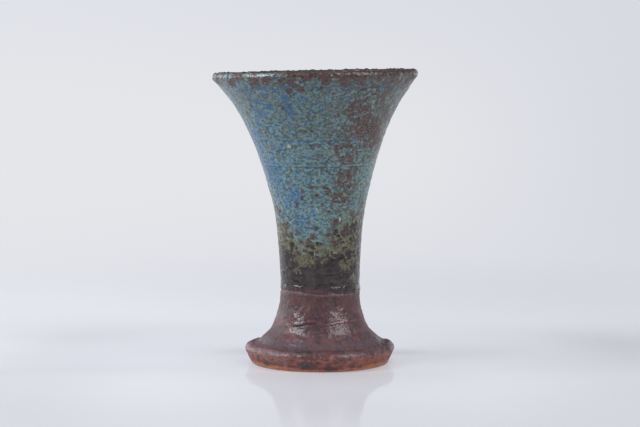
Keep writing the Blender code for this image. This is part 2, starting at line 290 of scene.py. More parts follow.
class VaseStudio(bpy.types.PropertyGroup):
    """The studio: camera, lamps and surroundings."""

    camera_place: bpy.props.FloatVectorProperty(
        name="Camera Place", description="Where the camera stands",
        default=(0.0, -1.056, 0.17104), subtype="TRANSLATION")
    camera_pitch: bpy.props.FloatProperty(
        name="Camera Pitch", description="How far the camera looks down",
        default=math.radians(4.8213), subtype="ANGLE")
    lens: bpy.props.FloatProperty(
        name="Lens", description="Focal length on a sensor 36 mm wide", default=108.459, unit="CAMERA")
    left_power: power("Left Power", "Power of the soft box on the left", 18.0)
    right_power: power("Right Power", "Power of the soft box on the right", 14.4)
    top_power: power("Top Power", "Power of the soft box overhead", 2.4)
    left_panel_power: power("Left Panel Power", "Power of the white panel behind on the left", 5.0)
    right_panel_power: power("Right Panel Power", "Power of the white panel behind on the right", 1.4)
    lamp_colour: colour("Lamp Colour", "Colour of every lamp", (0.94, 0.965, 1.0))
    surround: bpy.props.FloatProperty(
        name="Surround", description="Light that the white studio sends back", default=0.46)
    surround_colour: colour("Surround Colour", "Colour of that light", (0.97, 0.98, 1.0))
    backdrop_left: colour("Backdrop Left", "Colour of the backdrop on the left", (0.742, 0.762, 0.818))
    backdrop_right: colour("Backdrop Right", "Colour of the backdrop on the right", (0.686, 0.700, 0.765))
    backdrop_glow: colour("Backdrop Glow", "Colour of the backdrop where it is lit", (0.800, 0.805, 0.815))
    room: colour("Room", "What reflections show of the room in front", (0.20, 0.20, 0.21))
    floor: colour("Floor", "Colour of the floor", (0.584, 0.581, 0.613))
    floor_glow: bpy.props.FloatProperty(
        name="Floor Glow", description="How bright the floor looks where no shadow falls, beside its colour",
        default=1.33)


# Node trees. A value in a tree is a number, a colour, a vector or a Field.


class Field:
    """A value that changes over a surface: the output of a node, with arithmetic that adds nodes."""

    def __init__(self, tree, socket):
        self.tree = tree
        self.socket = socket

    def __add__(self, other):
        return number(self.tree, "ADD", self, other)

    def __radd__(self, other):
        return number(self.tree, "ADD", other, self)

    def __sub__(self, other):
        return number(self.tree, "SUBTRACT", self, other)

    def __rsub__(self, other):
        return number(self.tree, "SUBTRACT", other, self)

    def __mul__(self, other):
        return number(self.tree, "MULTIPLY", self, other)

    def __truediv__(self, other):
        return number(self.tree, "DIVIDE", self, other)

    def __rtruediv__(self, other):
        return number(self.tree, "DIVIDE", other, self)

    def larger(self, other):
        """The larger of two values."""
        return number(self.tree, "MAXIMUM", self, other)

    def away(self, middle):
        """The distance from a value."""
        return number(self.tree, "ABSOLUTE", self - middle)

    def rise(self, low, high):
        """0 below low, 1 above high, and smooth between them."""
        inputs = {"Value": self, "From Min": low, "From Max": high}
        return first(self.tree, "ShaderNodeMapRange", inputs, interpolation_type="SMOOTHSTEP")

    def fall(self, low, high):
        """1 below low, 0 above high, and smooth between them."""
        return 1 - self.rise(low, high)

    def near(self, middle, reach):
        """1 at the middle, and 0 from the reach on."""
        return self.away(middle).fall(0, reach)


def plug(tree, value, socket):
    """Gives a value to an input."""
    if isinstance(value, Field):
        tree.links.new(value.socket, socket)
    elif socket.type == "RGBA" and len(value) == 3:
        socket.default_value = (*value, 1)
    else:
        socket.default_value = value


def add(tree, kind, inputs=None, **settings):
    """Adds a node with its settings, and with values on its inputs by name or number."""
    node = tree.nodes.new(kind)
    for name, value in settings.items():
        setattr(node, name, value)
    for name, value in (inputs or {}).items():
        plug(tree, value, node.inputs[name])
    return node


def first(tree, kind, inputs=None, **settings):
    """Adds a node, and returns its first output."""
    return Field(tree, add(tree, kind, inputs, **settings).outputs[0])


def number(tree, operation, *values):
    """Arithmetic on numbers."""
    return first(tree, "ShaderNodeMath", dict(enumerate(values)), operation=operation)


def vector(tree, operation, *values):
    """Arithmetic on vectors."""
    node = add(tree, "ShaderNodeVectorMath", dict(enumerate(values)), operation=operation)
    return Field(tree, node.outputs["Value" if operation == "LENGTH" else "Vector"])


def scaled(tree, value, scale):
    """A vector made longer by a number that may change over the surface."""
    return first(tree, "ShaderNodeVectorMath", {0: value, "Scale": scale}, operation="SCALE")


def parts(tree, value):
    """The three numbers of a vector."""
    node = add(tree, "ShaderNodeSeparateXYZ", {0: value})
    return [Field(tree, out) for out in node.outputs]


def joined(tree, x, y, z):
    """A vector of three numbers."""
    return first(tree, "ShaderNodeCombineXYZ", {0: x, 1: y, 2: z})


def blend(tree, share, ground, over):
    """A ground colour, turning into the colour over it by a share."""
    node = add(tree, "ShaderNodeMix", {0: share, 6: ground, 7: over}, data_type="RGBA")
    return Field(tree, node.outputs[2])


def layered(tree, ground, *layers):
    """A ground colour with layers over it, each given as its share and its colour."""
    for share, over in layers:
        ground = blend(tree, share, ground, over)
    return ground


def noise(tree, place, size, detail=2.0):
    """Noise from 0 to 1 with features of a size in mm."""
    return first(tree, "ShaderNodeTexNoise", {"Vector": place, "Scale": 1 / (size * MM), "Detail": detail})


def uneven(tree, place, size, detail=1.0):
    """Noise about zero."""
    return noise(tree, place, size, detail) - 0.5


def shader_mix(tree, share, ground, over):
    """A shader node, turning into the one over it by a share."""
    node = add(tree, "ShaderNodeMixShader", {0: share})
    tree.links.new(ground.outputs[0], node.inputs[1])
    tree.links.new(over.outputs[0], node.inputs[2])
    return node


def ray(tree, kind):
    """1 for rays of a kind."""
    return Field(tree, tree.nodes.new("ShaderNodeLightPath").outputs[kind])


def arrange(tree):
    """Lays the nodes out in columns, each to the left of the nodes that it feeds."""
    column = {node: 0 for node in tree.nodes}
    for _ in tree.nodes:
        moved = False
        for link in tree.links:
            if column[link.from_node] <= column[link.to_node]:
                column[link.from_node] = column[link.to_node] + 1
                moved = True
        if not moved:
            break
    filled = {}
    for node in tree.nodes:
        row = filled.get(column[node], 0)
        filled[column[node]] = row + 1
        node.location = (-COLUMN_WIDTH * column[node], -ROW_HEIGHT * row)


def group_of(tree_type, name, inputs, outputs):
    """A new node group with named sockets, its input fields by name, and its output node."""
    tree = bpy.data.node_groups.new(name, tree_type)
    for label, (kind, value) in inputs.items():
        socket = tree.interface.new_socket(name=label, in_out="INPUT", socket_type=kind)
        if value is not None:
            socket.default_value = value
    for label, kind in outputs.items():
        tree.interface.new_socket(name=label, in_out="OUTPUT", socket_type=kind)
    given = tree.nodes.new("NodeGroupInput")
    fields = {out.name: Field(tree, out) for out in given.outputs if out.name}
    return tree, fields, tree.nodes.new("NodeGroupOutput")


def close(tree, result, *values):
    """Joins values to a group's outputs."""
    for value, socket in zip(values, result.inputs):
        plug(tree, value, socket)
    arrange(tree)
    return tree


def socket_name(word):
    """The name of a socket, from the word for it in the script."""
    return word.replace("_", " ").title()


# The thrown wall: one Geometry Nodes tree turns every outline of the vase. Heights in it are in mm.


RELIEF_INPUTS = (
    "Swell Height", "Lump Height", "Grain Height", "Ring Depth", "Spiral Depth", "Crust Height",
    "Roll Height", "Edge Sway", "Joint Depth", "Flange Lumps", "Rim Shift", "Rim Tilt",
)
WALL_INPUTS = {
    "Outline": ("NodeSocketGeometry", None),
    "Columns": ("NodeSocketInt", CLAY_COLUMNS),
    "Lump Size": ("NodeSocketFloat", 3 * MM),
    **{label: ("NodeSocketFloat", 0.0) for label in RELIEF_INPUTS},
    "Finish": ("NodeSocketMaterial", None),
}


def named(tree, kind, name):
    """An attribute of the geometry, by its name."""
    return first(tree, "GeometryNodeInputNamedAttribute", {"Name": name}, data_type=kind)


def stored(tree, shape, kind, domain, name, value):
    """The geometry with a value kept on it as an attribute."""
    inputs = {"Geometry": shape, "Name": name, "Value": value}
    return first(tree, "GeometryNodeStoreNamedAttribute", inputs, data_type=kind, domain=domain)


def moved_by(tree, shape, offset):
    """The geometry with its points moved."""
    return first(tree, "GeometryNodeSetPosition", {"Geometry": shape, "Offset": offset})


def drawn_line(tree, share, points):
    """A drawn line: heights from 0 to 1 along a share from 0 to 1."""
    node = add(tree, "ShaderNodeFloatCurve", {"Value": share})
    curve = node.mapping.curves[0]
    for _ in range(len(points) - 2):
        curve.points.new(0.5, 0.5)
    for point, place in zip(curve.points, points):
        point.location = place
    node.mapping.update()
    return Field(tree, node.outputs[0])


def turned(tree, given):
    """The outline turned round the axis, with its heights, facings and bake map kept on it."""
    count = add(tree, "GeometryNodeAttributeDomainSize", {0: given["Outline"]}).outputs["Point Count"]
    rows = Field(tree, count)
    grid = add(tree, "GeometryNodeMeshGrid", {"Vertices X": given["Columns"] + 1, "Vertices Y": rows})
    around, along, _ = parts(tree, Field(tree, grid.outputs["UV Map"]))
    row = number(tree, "ROUND", along * (rows - 1))

    def taken(kind, value):
        inputs = {"Geometry": given["Outline"], "Value": value, "Index": row}
        return first(tree, "GeometryNodeSampleIndex", inputs, data_type=kind, domain="POINT")

    turn = around * math.tau + math.pi / 2
    across = number(tree, "COSINE", turn)
    deep = number(tree, "SINE", turn)
    radius, _, height = parts(tree, taken("FLOAT_VECTOR", first(tree, "GeometryNodeInputPosition")))
    out, _, up = parts(tree, taken("FLOAT_VECTOR", named(tree, "FLOAT_VECTOR", "facing")))
    facing = joined(tree, out * across, out * deep, up)
    spot = joined(tree, around, taken("FLOAT", named(tree, "FLOAT", "along")), 0.0)
    shape = Field(tree, grid.outputs["Mesh"])
    shape = stored(tree, shape, "FLOAT2", "CORNER", "OFBake", spot)
    shape = stored(tree, shape, "FLOAT", "POINT", "throw_height", height)
    shape = stored(tree, shape, "FLOAT_VECTOR", "POINT", "facing", facing)
    place = joined(tree, radius * across, radius * deep, height)
    shape = first(tree, "GeometryNodeSetPosition", {"Geometry": shape, "Position": place})
    return first(tree, "GeometryNodeMergeByDistance", {"Geometry": shape, "Distance": MERGE_DISTANCE})


def throwing_lines(height, right, front, half):
    """A mask of the throwing lines: 1 in the middle of a line."""
    mask = None
    for level, begin, end in THROWING_LINES:
        middle = math.radians((begin + end) / 2)
        reach = math.radians((end - begin) / 2)
        facing = right * math.sin(middle) + front * math.cos(middle)
        line = height.near(level, half) * facing.rise(math.cos(reach + 0.1), math.cos(reach - 0.3))
        mask = line if mask is None else mask.larger(line)
    return mask


def hand_marks(tree, given, place, height, bearing, right, front):
    """The relief of the whole wall: swelling, lumps and grain, throwing lines, lip and flange."""
    swell = uneven(tree, place, 16) * given["Swell Height"]
    lump = uneven(tree, place, given["Lump Size"] / MM, 2.0) * given["Lump Height"]
    grain = uneven(tree, place, 1.1, 2.0) * given["Grain Height"]
    flange = uneven(tree, place, 8, 1.5) + uneven(tree, place, 3.2) * 0.45 + uneven(tree, place, 1.7) * 0.22
    flange = flange * height.near(7.5, 8) * given["Flange Lumps"]
    rings = throwing_lines(height, right, front, 1.0)
    rings = rings - throwing_lines(height + 1.3, right, front, 1.0) * 0.4
    spiral = number(tree, "SINE", height * (math.tau / 6.5) + bearing)
    crust = noise(tree, place, 2.0).rise(0.48, 0.72) * height.rise(154.2, 157.0)
    marks = (swell + lump + grain + flange) * 4 - rings * given["Ring Depth"]
    return marks + spiral * given["Spiral Depth"] + crust * given["Crust Height"]


def glaze_roll(tree, given, place, height, right, front):
    """The relief of the rolled lower edge of the glaze, and a mask of the bead on it."""
    roll = height.rise(39.25, 39.9) * height.fall(41.4, 42.9) - height.near(43.3, 0.6) * 0.35
    roll = roll * (right.rise(-0.5, 0.15) * 0.75 + 0.25)
    facing = right * math.sin(BEAD_BEARING) + front * math.cos(BEAD_BEARING)
    bead = (height + uneven(tree, place, 2.4) * 2.6).near(42.8, 0.8)
    bead = bead * facing.rise(math.cos(0.28), math.cos(0.14))
    return (roll + bead * 1.7) * given["Roll Height"], bead


def edge_sway(tree, given, place, height, bearing, right):
    """How far the lower edge of the glaze, and what lies under it, goes up and down round the stem."""
    sway = number(tree, "COSINE", bearing + 0.17) + uneven(tree, place, 7) * 1.5
    sway = sway + right.fall(-0.75, 0.25) * 1.6
    return sway * given["Edge Sway"] * height.fall(40, 47)


def luted_joint(tree, given, place, height, bearing):
    """The relief of the joint, a mask of where it gapes, and one of where it is a low ridge."""
    share = (bearing + math.pi) / math.tau
    span = JOINT_HIGH - JOINT_LOW
    line = [((angle + 180) / 360, (level - JOINT_LOW) / span) for angle, level, _ in JOINT_LINE]
    level = drawn_line(tree, share, line) * span + JOINT_LOW + uneven(tree, place, 3, 2.0) * 0.8
    gape = drawn_line(tree, share, [((angle + 180) / 360, gap) for angle, _, gap in JOINT_LINE])
    cleft = height.near(level, 0.4) * gape
    brow = height.near(level + 1.1, 1.3) * gape
    ridge = height.near(level, 0.8) * gape.fall(0.0, 0.3)
    return (brow * 0.22 - cleft + ridge * 0.2) * given["Joint Depth"], cleft, ridge


def wall_tree():
    """Builds the tree that turns an outline into a fired wall."""
    tree, given, result = group_of("GeometryNodeTree", WALL_TREE, WALL_INPUTS, {"Wall": "NodeSocketGeometry"})
    shape = turned(tree, given)
    place = first(tree, "GeometryNodeInputPosition")
    x, y, _ = parts(tree, place)
    height = named(tree, "FLOAT", "throw_height") / MM
    bearing = number(tree, "ARCTAN2", x, 0 - y)
    right = number(tree, "SINE", bearing)
    front = number(tree, "COSINE", bearing)

    roll, bead = glaze_roll(tree, given, place, height, right, front)
    joint, gape, ridge = luted_joint(tree, given, place, height, bearing)
    relief = hand_marks(tree, given, place, height, bearing, right, front) + roll + joint
    relief = relief * height.rise(0.1, 1.6)
    for name, value in (("gape", gape), ("bead", bead), ("seam_ridge", ridge)):
        shape = stored(tree, shape, "FLOAT", "POINT", name, value)
    sway = edge_sway(tree, given, place, height, bearing, right)
    outward = scaled(tree, named(tree, "FLOAT_VECTOR", "facing"), relief)
    shape = moved_by(tree, shape, vector(tree, "ADD", outward, joined(tree, 0.0, 0.0, sway)))

    lean = (height.larger(WAIST) - WAIST) / (RIM - WAIST)
    lean = lean * lean
    lift = x * number(tree, "TANGENT", given["Rim Tilt"]) * lean
    shape = moved_by(tree, shape, joined(tree, given["Rim Shift"] * lean, 0.0, lift))

    shape = first(tree, "GeometryNodeSetShadeSmooth", {"Geometry": shape})
    angles = {0: first(tree, "GeometryNodeInputMeshEdgeAngle"), 1: SHARP_ANGLE}
    sharp = first(tree, "FunctionNodeCompare", angles, operation="GREATER_THAN")
    shape = stored(tree, shape, "BOOLEAN", "EDGE", "sharp_edge", sharp)
    shape = first(tree, "GeometryNodeRealizeInstances", {"Geometry": shape})
    shape = first(tree, "GeometryNodeSetMaterial", {"Geometry": shape, "Material": given["Finish"]})
    return close(tree, result, shape)


# Outlines. A line is a list of points, with the clay on its left. An outline is a list of points, each with
# the direction that faces away from the clay and whether it shows.


def ramp(value, low, high):
    """0 below low, 1 above high, and even between them."""
    return min(1.0, max(0.0, (value - low) / (high - low)))


def smooth_line(points, steps):
    """A line along a smooth curve through points. steps(height) is how far apart its own points are."""
    given = [Vector(p) for p in points]
    given = [2 * given[0] - given[1]] + given + [2 * given[-1] - given[-2]]
    line = []
    for before, start, end, after in zip(given, given[1:], given[2:], given[3:]):
        gap = (end - start).length
        count = max(1, round(gap / steps((start.y + end.y) / 2)))
        lead = (end - before) * (gap / (gap + (start - before).length))
        trail = (after - start) * (gap / (gap + (after - end).length))
        for k in range(count):
            t = k / count
            line.append(
                start * (2 * t**3 - 3 * t**2 + 1) + lead * (t**3 - 2 * t**2 + t)
                + end * (3 * t**2 - 2 * t**3) + trail * (t**3 - t**2))
    return line + [given[-2]]


def lip(start, end, count, half=LIP_HALF):
    """A line round the lip, from one angle to another in degrees."""
    angles = [math.radians(start + (end - start) * k / count) for k in range(count + 1)]
    middle = Vector(LIP_MIDDLE)
    return [middle + Vector((half * math.cos(angle), half * math.sin(angle))) for angle in angles]


def facings(line):
    """The direction away from the clay at each point of a line."""
    found = []
    for k in range(len(line)):
        along = (line[min(k + 1, len(line) - 1)] - line[max(k - 1, 0)]).normalized()
        found.append(Vector((along.y, -along.x)))
    return found


def sunk(line, depth):
    """The line moved into the clay. The depth may change with the height."""
    deep = depth if callable(depth) else lambda _: depth
    return [p - f * deep(p.y) for p, f in zip(line, facings(line))]


def outside(low, high, steps):
    """The finished outside between two heights, as a line."""
    return [p for p in smooth_line(OUTLINE, steps) if low <= p.y <= high]


def coat(line, thickness, every):
    """The outline of a coat in two stretches: the line that shows, and its back in fewer points."""
    faced = facings(line)
    back = list(zip(sunk(line, thickness), faced))[::-1]
    back = back[:1] + back[1:-1][::every] + back[-1:]
    return [(p, f, True) for p, f in zip(line, faced)], [(p, f, False) for p, f in back]


def clay_side(line, depth, low, high):
    """A stretch of an outline: a line sunk to a depth, between two heights."""
    faced = zip(sunk(line, depth), facings(line))
    return [(p, f, True) for p, f in faced if low <= p.y <= high]


def hidden(*points):
    """A stretch of an outline that never shows and has no relief."""
    return [(Vector(p), Vector((0, 0)), False) for p in points]


def map_shares(outline):
    """Where each point of an outline lies on the bake map, from 0 to 1."""
    far = [0.0]
    for start, end in zip(outline, outline[1:]):
        shows = start[2] or end[2]
        far.append(far[-1] + (end[0] - start[0]).length * (1.0 if shows else HIDDEN_SHARE))
    return [distance / far[-1] for distance in far]


def throw(context, name, outline, columns, finish, slot, nodes, closed=True, **sizes):
    """Turns an outline into a piece that stands for CAD nodes. Sizes are inputs of the wall's tree."""
    points = outline + outline[:1] if closed else outline
    edges = [(k, k + 1) for k in range(len(points) - 1)]
    mesh = bpy.data.meshes.new(name)
    mesh.from_pydata([(p.x * MM, 0, p.y * MM) for p, _, _ in points], edges, [])
    facing = mesh.attributes.new("facing", "FLOAT_VECTOR", "POINT")
    facing.data.foreach_set("vector", [n for _, f, _ in points for n in (f.x, 0.0, f.y)])
    mesh.attributes.new("along", "FLOAT", "POINT").data.foreach_set("value", map_shares(points))
    piece = bpy.data.objects.new(name, mesh)
    context.scene.collection.objects.link(piece)

    vase = context.scene.vase_sizes
    sizes.update(columns=columns, finish=finish)
    for word in ("swell_height", "lump_height", "rim_shift", "rim_tilt"):
        sizes[word] = getattr(vase, word)
    given = {socket_name(word): value for word, value in sizes.items()}
    tree = bpy.data.node_groups.get(WALL_TREE) or wall_tree()
    modifier = piece.modifiers.new(WALL_TREE, "NODES")
    modifier.node_group = tree
    for item in tree.interface.items_tree:
        if item.in_out == "INPUT" and item.name in given:
            modifier[item.identifier] = given[item.name]

    graph = context.evaluated_depsgraph_get()
    made = bpy.data.meshes.new_from_object(
        piece.evaluated_get(graph), preserve_all_data_layers=True, depsgraph=graph)
    piece.modifiers.remove(modifier)
    piece.data = made
    bpy.data.meshes.remove(mesh)
    made.name = name
    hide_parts(*nodes)
    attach(piece, BODY)


# Effects that the finishes share, each a shader node group. Their sizes are in mm.


def object_place(tree):
    """Where a point is on the vase."""
    return Field(tree, tree.nodes.new("ShaderNodeTexCoord").outputs["Object"])


def kept(tree, name):
    """A value that the wall keeps as an attribute."""
    return Field(tree, add(tree, "ShaderNodeAttribute", attribute_name=name).outputs["Fac"])


def effect(name, inputs, *outputs):
    """A new shader node group. Its inputs have numbers as defaults, or None for a vector."""
    kinds = {}
    for label, value in inputs.items():
        kinds[label] = ("NodeSocketVector" if value is None else "NodeSocketFloat", value)
    return group_of("ShaderNodeTree", name, kinds, dict.fromkeys(outputs, "NodeSocketFloat"))


def cloud_in(tree, given, detail=2.0):
    """Noise with the size, stretch and seed that a group is given."""
    x, y, z = parts(tree, scaled(tree, object_place(tree), 1 / (given["Size"] * MM)))
    place = joined(tree, x + given["Seed"], y, z / given["Stretch"])
    return first(tree, "ShaderNodeTexNoise", {"Vector": place, "Scale": 1.0, "Detail": detail})


def vase_place(name):
    """The height of a point in mm, and how far it lies to the right and to the front, from -1 to 1."""
    tree, _, result = effect(name, {}, "Height", "Right", "Front")
    x, y, _ = parts(tree, object_place(tree))
    radius = number(tree, "SQRT", x * x + y * y).larger(MERGE_DISTANCE)
    close(tree, result, kept(tree, "throw_height") / MM, x / radius, 0 - y / radius)


def speckle(name):
    """Scattered spots with ragged edges, each of its own size."""
    inputs = {"Spacing": 3.0, "Share": 0.5, "Size": 0.4, "Ragged": 0.4}
    tree, given, result = effect(name, inputs, "Mask")
    place = scaled(tree, object_place(tree), 1 / (given["Spacing"] * MM))
    shift = add(tree, "ShaderNodeTexNoise", {"Vector": place, "Scale": 2.3, "Detail": 1.0}).outputs["Color"]
    shift = vector(tree, "SUBTRACT", Field(tree, shift), (0.5, 0.5, 0.5))
    place = vector(tree, "ADD", place, scaled(tree, shift, given["Ragged"]))
    cells = add(tree, "ShaderNodeTexVoronoi", {"Vector": place, "Scale": 1.0})
    chance, bulk, _ = parts(tree, Field(tree, cells.outputs["Color"]))
    reach = given["Size"] * (bulk * 0.8 + 0.4)
    spot = Field(tree, cells.outputs["Distance"]).fall(reach * 0.55, reach)
    close(tree, result, spot * number(tree, "LESS_THAN", chance, given["Share"]))


def blotch(name):
    """Clouds cut off at a level, which cover more of the surface the larger their amount is."""
    inputs = {"Size": 3.0, "Stretch": 1.0, "Amount": 0.5, "Soft": 0.03, "Detail": 3.0, "Seed": 0.0}
    tree, given, result = effect(name, inputs, "Mask")
    level = 0.65 - given["Amount"] * 0.3
    cloud = cloud_in(tree, given, given["Detail"])
    close(tree, result, cloud.rise(level - given["Soft"], level + given["Soft"]))


def mottle(name):
    """Soft clouds from 0 to 1."""
    inputs = {"Size": 3.0, "Stretch": 1.0, "Contrast": 2.0, "Bias": 0.0, "Seed": 0.0}
    tree, given, result = effect(name, inputs, "Value")
    value = (cloud_in(tree, given) - 0.5) * given["Contrast"] + 0.5 + given["Bias"]
    value.socket.node.use_clamp = True
    close(tree, result, value)


def veins(name):
    """Winding lines."""
    tree, given, result = effect(name, {"Size": 3.0, "Stretch": 1.0, "Width": 0.04, "Seed": 0.0}, "Mask")
    close(tree, result, cloud_in(tree, given).away(0.5).fall(given["Width"] * 0.6, given["Width"]))


def patch(name):
    """A soft round patch at one place."""
    tree, given, result = effect(name, {"Middle": None, "Reach": None}, "Mask")
    off = vector(tree, "SUBTRACT", object_place(tree), given["Middle"])
    off = vector(tree, "LENGTH", vector(tree, "DIVIDE", off, given["Reach"]))
    close(tree, result, off.fall(0.25, 1.0))


def fired_grain(name):
    """The fine relief of a fired surface: grain and pits."""
    tree, given, result = effect(name, {"Grain": 0.7, "Pits": 2.5}, "Height")
    grain = noise(tree, object_place(tree), given["Grain"], 3.0)
    pits = placed(tree, "Speckle", spacing=given["Pits"], share=0.5, size=0.32, ragged=0.3)
    close(tree, result, grain - pits * 0.45)


EFFECTS = {
    "Vase Place": vase_place,
    "Speckle": speckle,
    "Blotch": blotch,
    "Mottle": mottle,
    "Veins": veins,
    "Patch": patch,
    "Fired Grain": fired_grain,
}


def placed(tree, group, **inputs):
    """A shared effect in a tree, with its own values. Returns its output, or a list of them."""
    node = add(tree, "ShaderNodeGroup", node_tree=bpy.data.node_groups[group])
    for word, value in inputs.items():
        plug(tree, value, node.inputs[socket_name(word)])
    outputs = [Field(tree, out) for out in node.outputs]
    return outputs[0] if len(outputs) == 1 else outputs


def on_wall(bearing, height, radius):
    """The place of a patch, from its angle off the front in degrees and its height and radius in mm."""
    angle = math.radians(bearing)
    lean = max(0.0, (height - WAIST) / (RIM - WAIST)) ** 2
    shift = bpy.context.scene.vase_sizes.rim_shift * lean
    return (radius * math.sin(angle) * MM + shift, -radius * math.cos(angle) * MM, height * MM)


def patches(tree, spots):
    """One mask of several patches."""
    mask = None
    for bearing, height, radius, across, up in spots:
        reach = (across * MM, across * MM, up * MM)
        spot = placed(tree, "Patch", middle=on_wall(bearing, height, radius), reach=reach)
        mask = spot if mask is None else mask.larger(spot)
    return mask


# Fired finishes


def finish_of(name, build):
    """A material whose colour, roughness, relief and its strength come from a function of its tree."""
    for group, make in EFFECTS.items():
        if group not in bpy.data.node_groups:
            make(group)
    material = bpy.data.materials.new(name)
    material.use_nodes = True
    tree = material.node_tree
    shader = tree.nodes["Principled BSDF"]
    hue, rough, relief, strength = build(tree, bpy.context.scene.vase_colours)
    plug(tree, hue, shader.inputs["Base Color"])
    plug(tree, rough, shader.inputs["Roughness"])
    bump = first(tree, "ShaderNodeBump", {"Height": relief, "Strength": strength, "Distance": BUMP_REACH})
    plug(tree, bump, shader.inputs["Normal"])
    arrange(tree)
    return material


def top_glaze(tree, hues, blue_share, brown_share, grey_share):
    """The turquoise glaze: pale net round darker cells, blue pools and brown iron breaking through."""
    net = placed(tree, "Mottle", size=1.7, stretch=0.7, contrast=6.0, bias=0.18, seed=1.0)
    fine = placed(tree, "Mottle", size=1.05, stretch=0.8, contrast=4.5, seed=3.0)
    broad = placed(tree, "Mottle", size=7.0, stretch=0.8, contrast=3.2, seed=2.0)
    drift = placed(tree, "Mottle", size=3.0, stretch=0.7, contrast=4.5, seed=5.0)
    pools = placed(tree, "Blotch", size=3.9, stretch=0.65, amount=blue_share, soft=0.06, seed=11.0)
    freckles = placed(
        tree, "Blotch", size=2.0, stretch=0.8, amount=broad * grey_share * 0.55 + brown_share * 0.3 + 0.03,
        soft=0.04, detail=2.0, seed=7.0)
    worms = placed(tree, "Veins", size=6.0, width=brown_share * 0.10, seed=17.0)
    solid = placed(
        tree, "Blotch", size=4.2, stretch=0.75, amount=brown_share - 0.30, soft=0.025, detail=4.0, seed=23.0)
    dots = placed(tree, "Speckle", spacing=3.3, share=brown_share * 0.4 + 0.3, size=0.44, ragged=0.9)
    iron = (worms * brown_share.rise(0.1, 0.5)).larger(solid).larger(dots * (broad * 0.4 + 0.6))
    iron = iron * (1.0 - fine * 0.2)
    cell = blend(tree, pools, hues.deep_teal, hues.blue)
    line = layered(
        tree, hues.turquoise, ((broad + drift * 0.9) * grey_share, hues.grey_olive), (pools * 0.5, hues.sky))
    rusted = blend(tree, fine, hues.dark_brown, hues.brown)
    hue = layered(
        tree, cell,
        (net * 0.7 + fine * 0.3, line),
        (pools * blue_share.rise(0.6, 1.1) * 0.35, hues.blue),
        (freckles * 0.75, hues.umber),
        (iron, blend(tree, brown_share.rise(0.05, 0.4), hues.umber, rusted)))
    return hue, iron, pools, fine


def lip_iron(tree, height, right, melt, fleck):
    """Masks of the iron in the band below the lip and on its crest, both of them chipped."""
    amount = 0.6 - right.rise(-0.9, 0.1) * 0.14 - right.fall(-0.96, -0.8) * 0.12
    chips = placed(tree, "Blotch", size=6.0, amount=amount, soft=0.05, seed=27.0)
    chips = chips * (height - right.fall(-0.6, -0.1) * 3.0).fall(157.6, 159.0)
    band = (height + melt * 3.2 + fleck * 1.6).rise(151.6, 153.6) * (1 - chips * 0.75)
    crest = (height + fleck * 2.0).rise(154.6, 157.4) * (1 - chips * 0.8)
    crest = crest * (0.7 + right.rise(-0.7, -0.1) * 0.25 - right.rise(0.2, 0.6) * 0.1)
    return band, crest


def glaze_shares(tree, height, right, band):
    """How blue, how brown and how grey the top glaze is."""
    blue = patches(tree, BLUE_POOLS) * 0.62 + (0 - right).rise(-0.4, 0.8) * 0.22 + 0.2
    blue = blue - right.rise(-0.1, 0.6) * 0.14
    blue = blue * (height.rise(58, 86) * 0.7 + 0.3 - height.rise(150, 155) * 0.6)
    loose = right.rise(-0.15, 0.5) * height.rise(74, 92) * 0.45
    loose = loose * (1 - right.rise(0.55, 0.85) * height.fall(112, 122))
    brown = (patches(tree, BROWN_PATCHES) * 0.8).larger(patches(tree, BROWN_SPOTS) * 1.2).larger(loose)
    brown = brown.larger(band * (right.rise(-0.9, 0.2) * 0.2 + 0.7)) + 0.02
    grey = right.rise(-0.3, 0.8) * 0.45 + height.rise(105, 135) * 0.18 + 0.25
    return blue, brown, grey


def run_edge(tree, right, front):
    """The height at which the top glaze stopped running."""
    turn = number(tree, "ARCTAN2", 0 - front, right)
    edge = RUN_HEIGHT + (0 - right).rise(0.45, 0.85) * RUN_LEFT_RISE
    for lobes, swing, crest in RUN_WAVES:
        edge = edge + number(tree, "COSINE", (turn - math.radians(crest)) * lobes) * swing
    return edge


def dark_glaze(tree, hues, height, right, melt, haze, scratches):
    """The dark glaze below the turquoise one, redder where it thins out at its lower edge."""
    smoke = placed(tree, "Mottle", size=4.0, stretch=0.55, contrast=4.0, seed=37.0)
    red = height.fall(41.2, 43.6) * placed(tree, "Blotch", size=4.0, amount=0.65, soft=0.1, seed=43.0)
    red = red * (right.away(-0.14).fall(0.16, 0.34) * 0.75 + 0.2)
    return layered(
        tree, hues.charcoal,
        (smoke, hues.iron_black),
        ((melt + 0.5) * haze * 0.4, hues.umber),
        (red * 0.8, hues.plum),
        (scratches * 0.4, hues.brown))


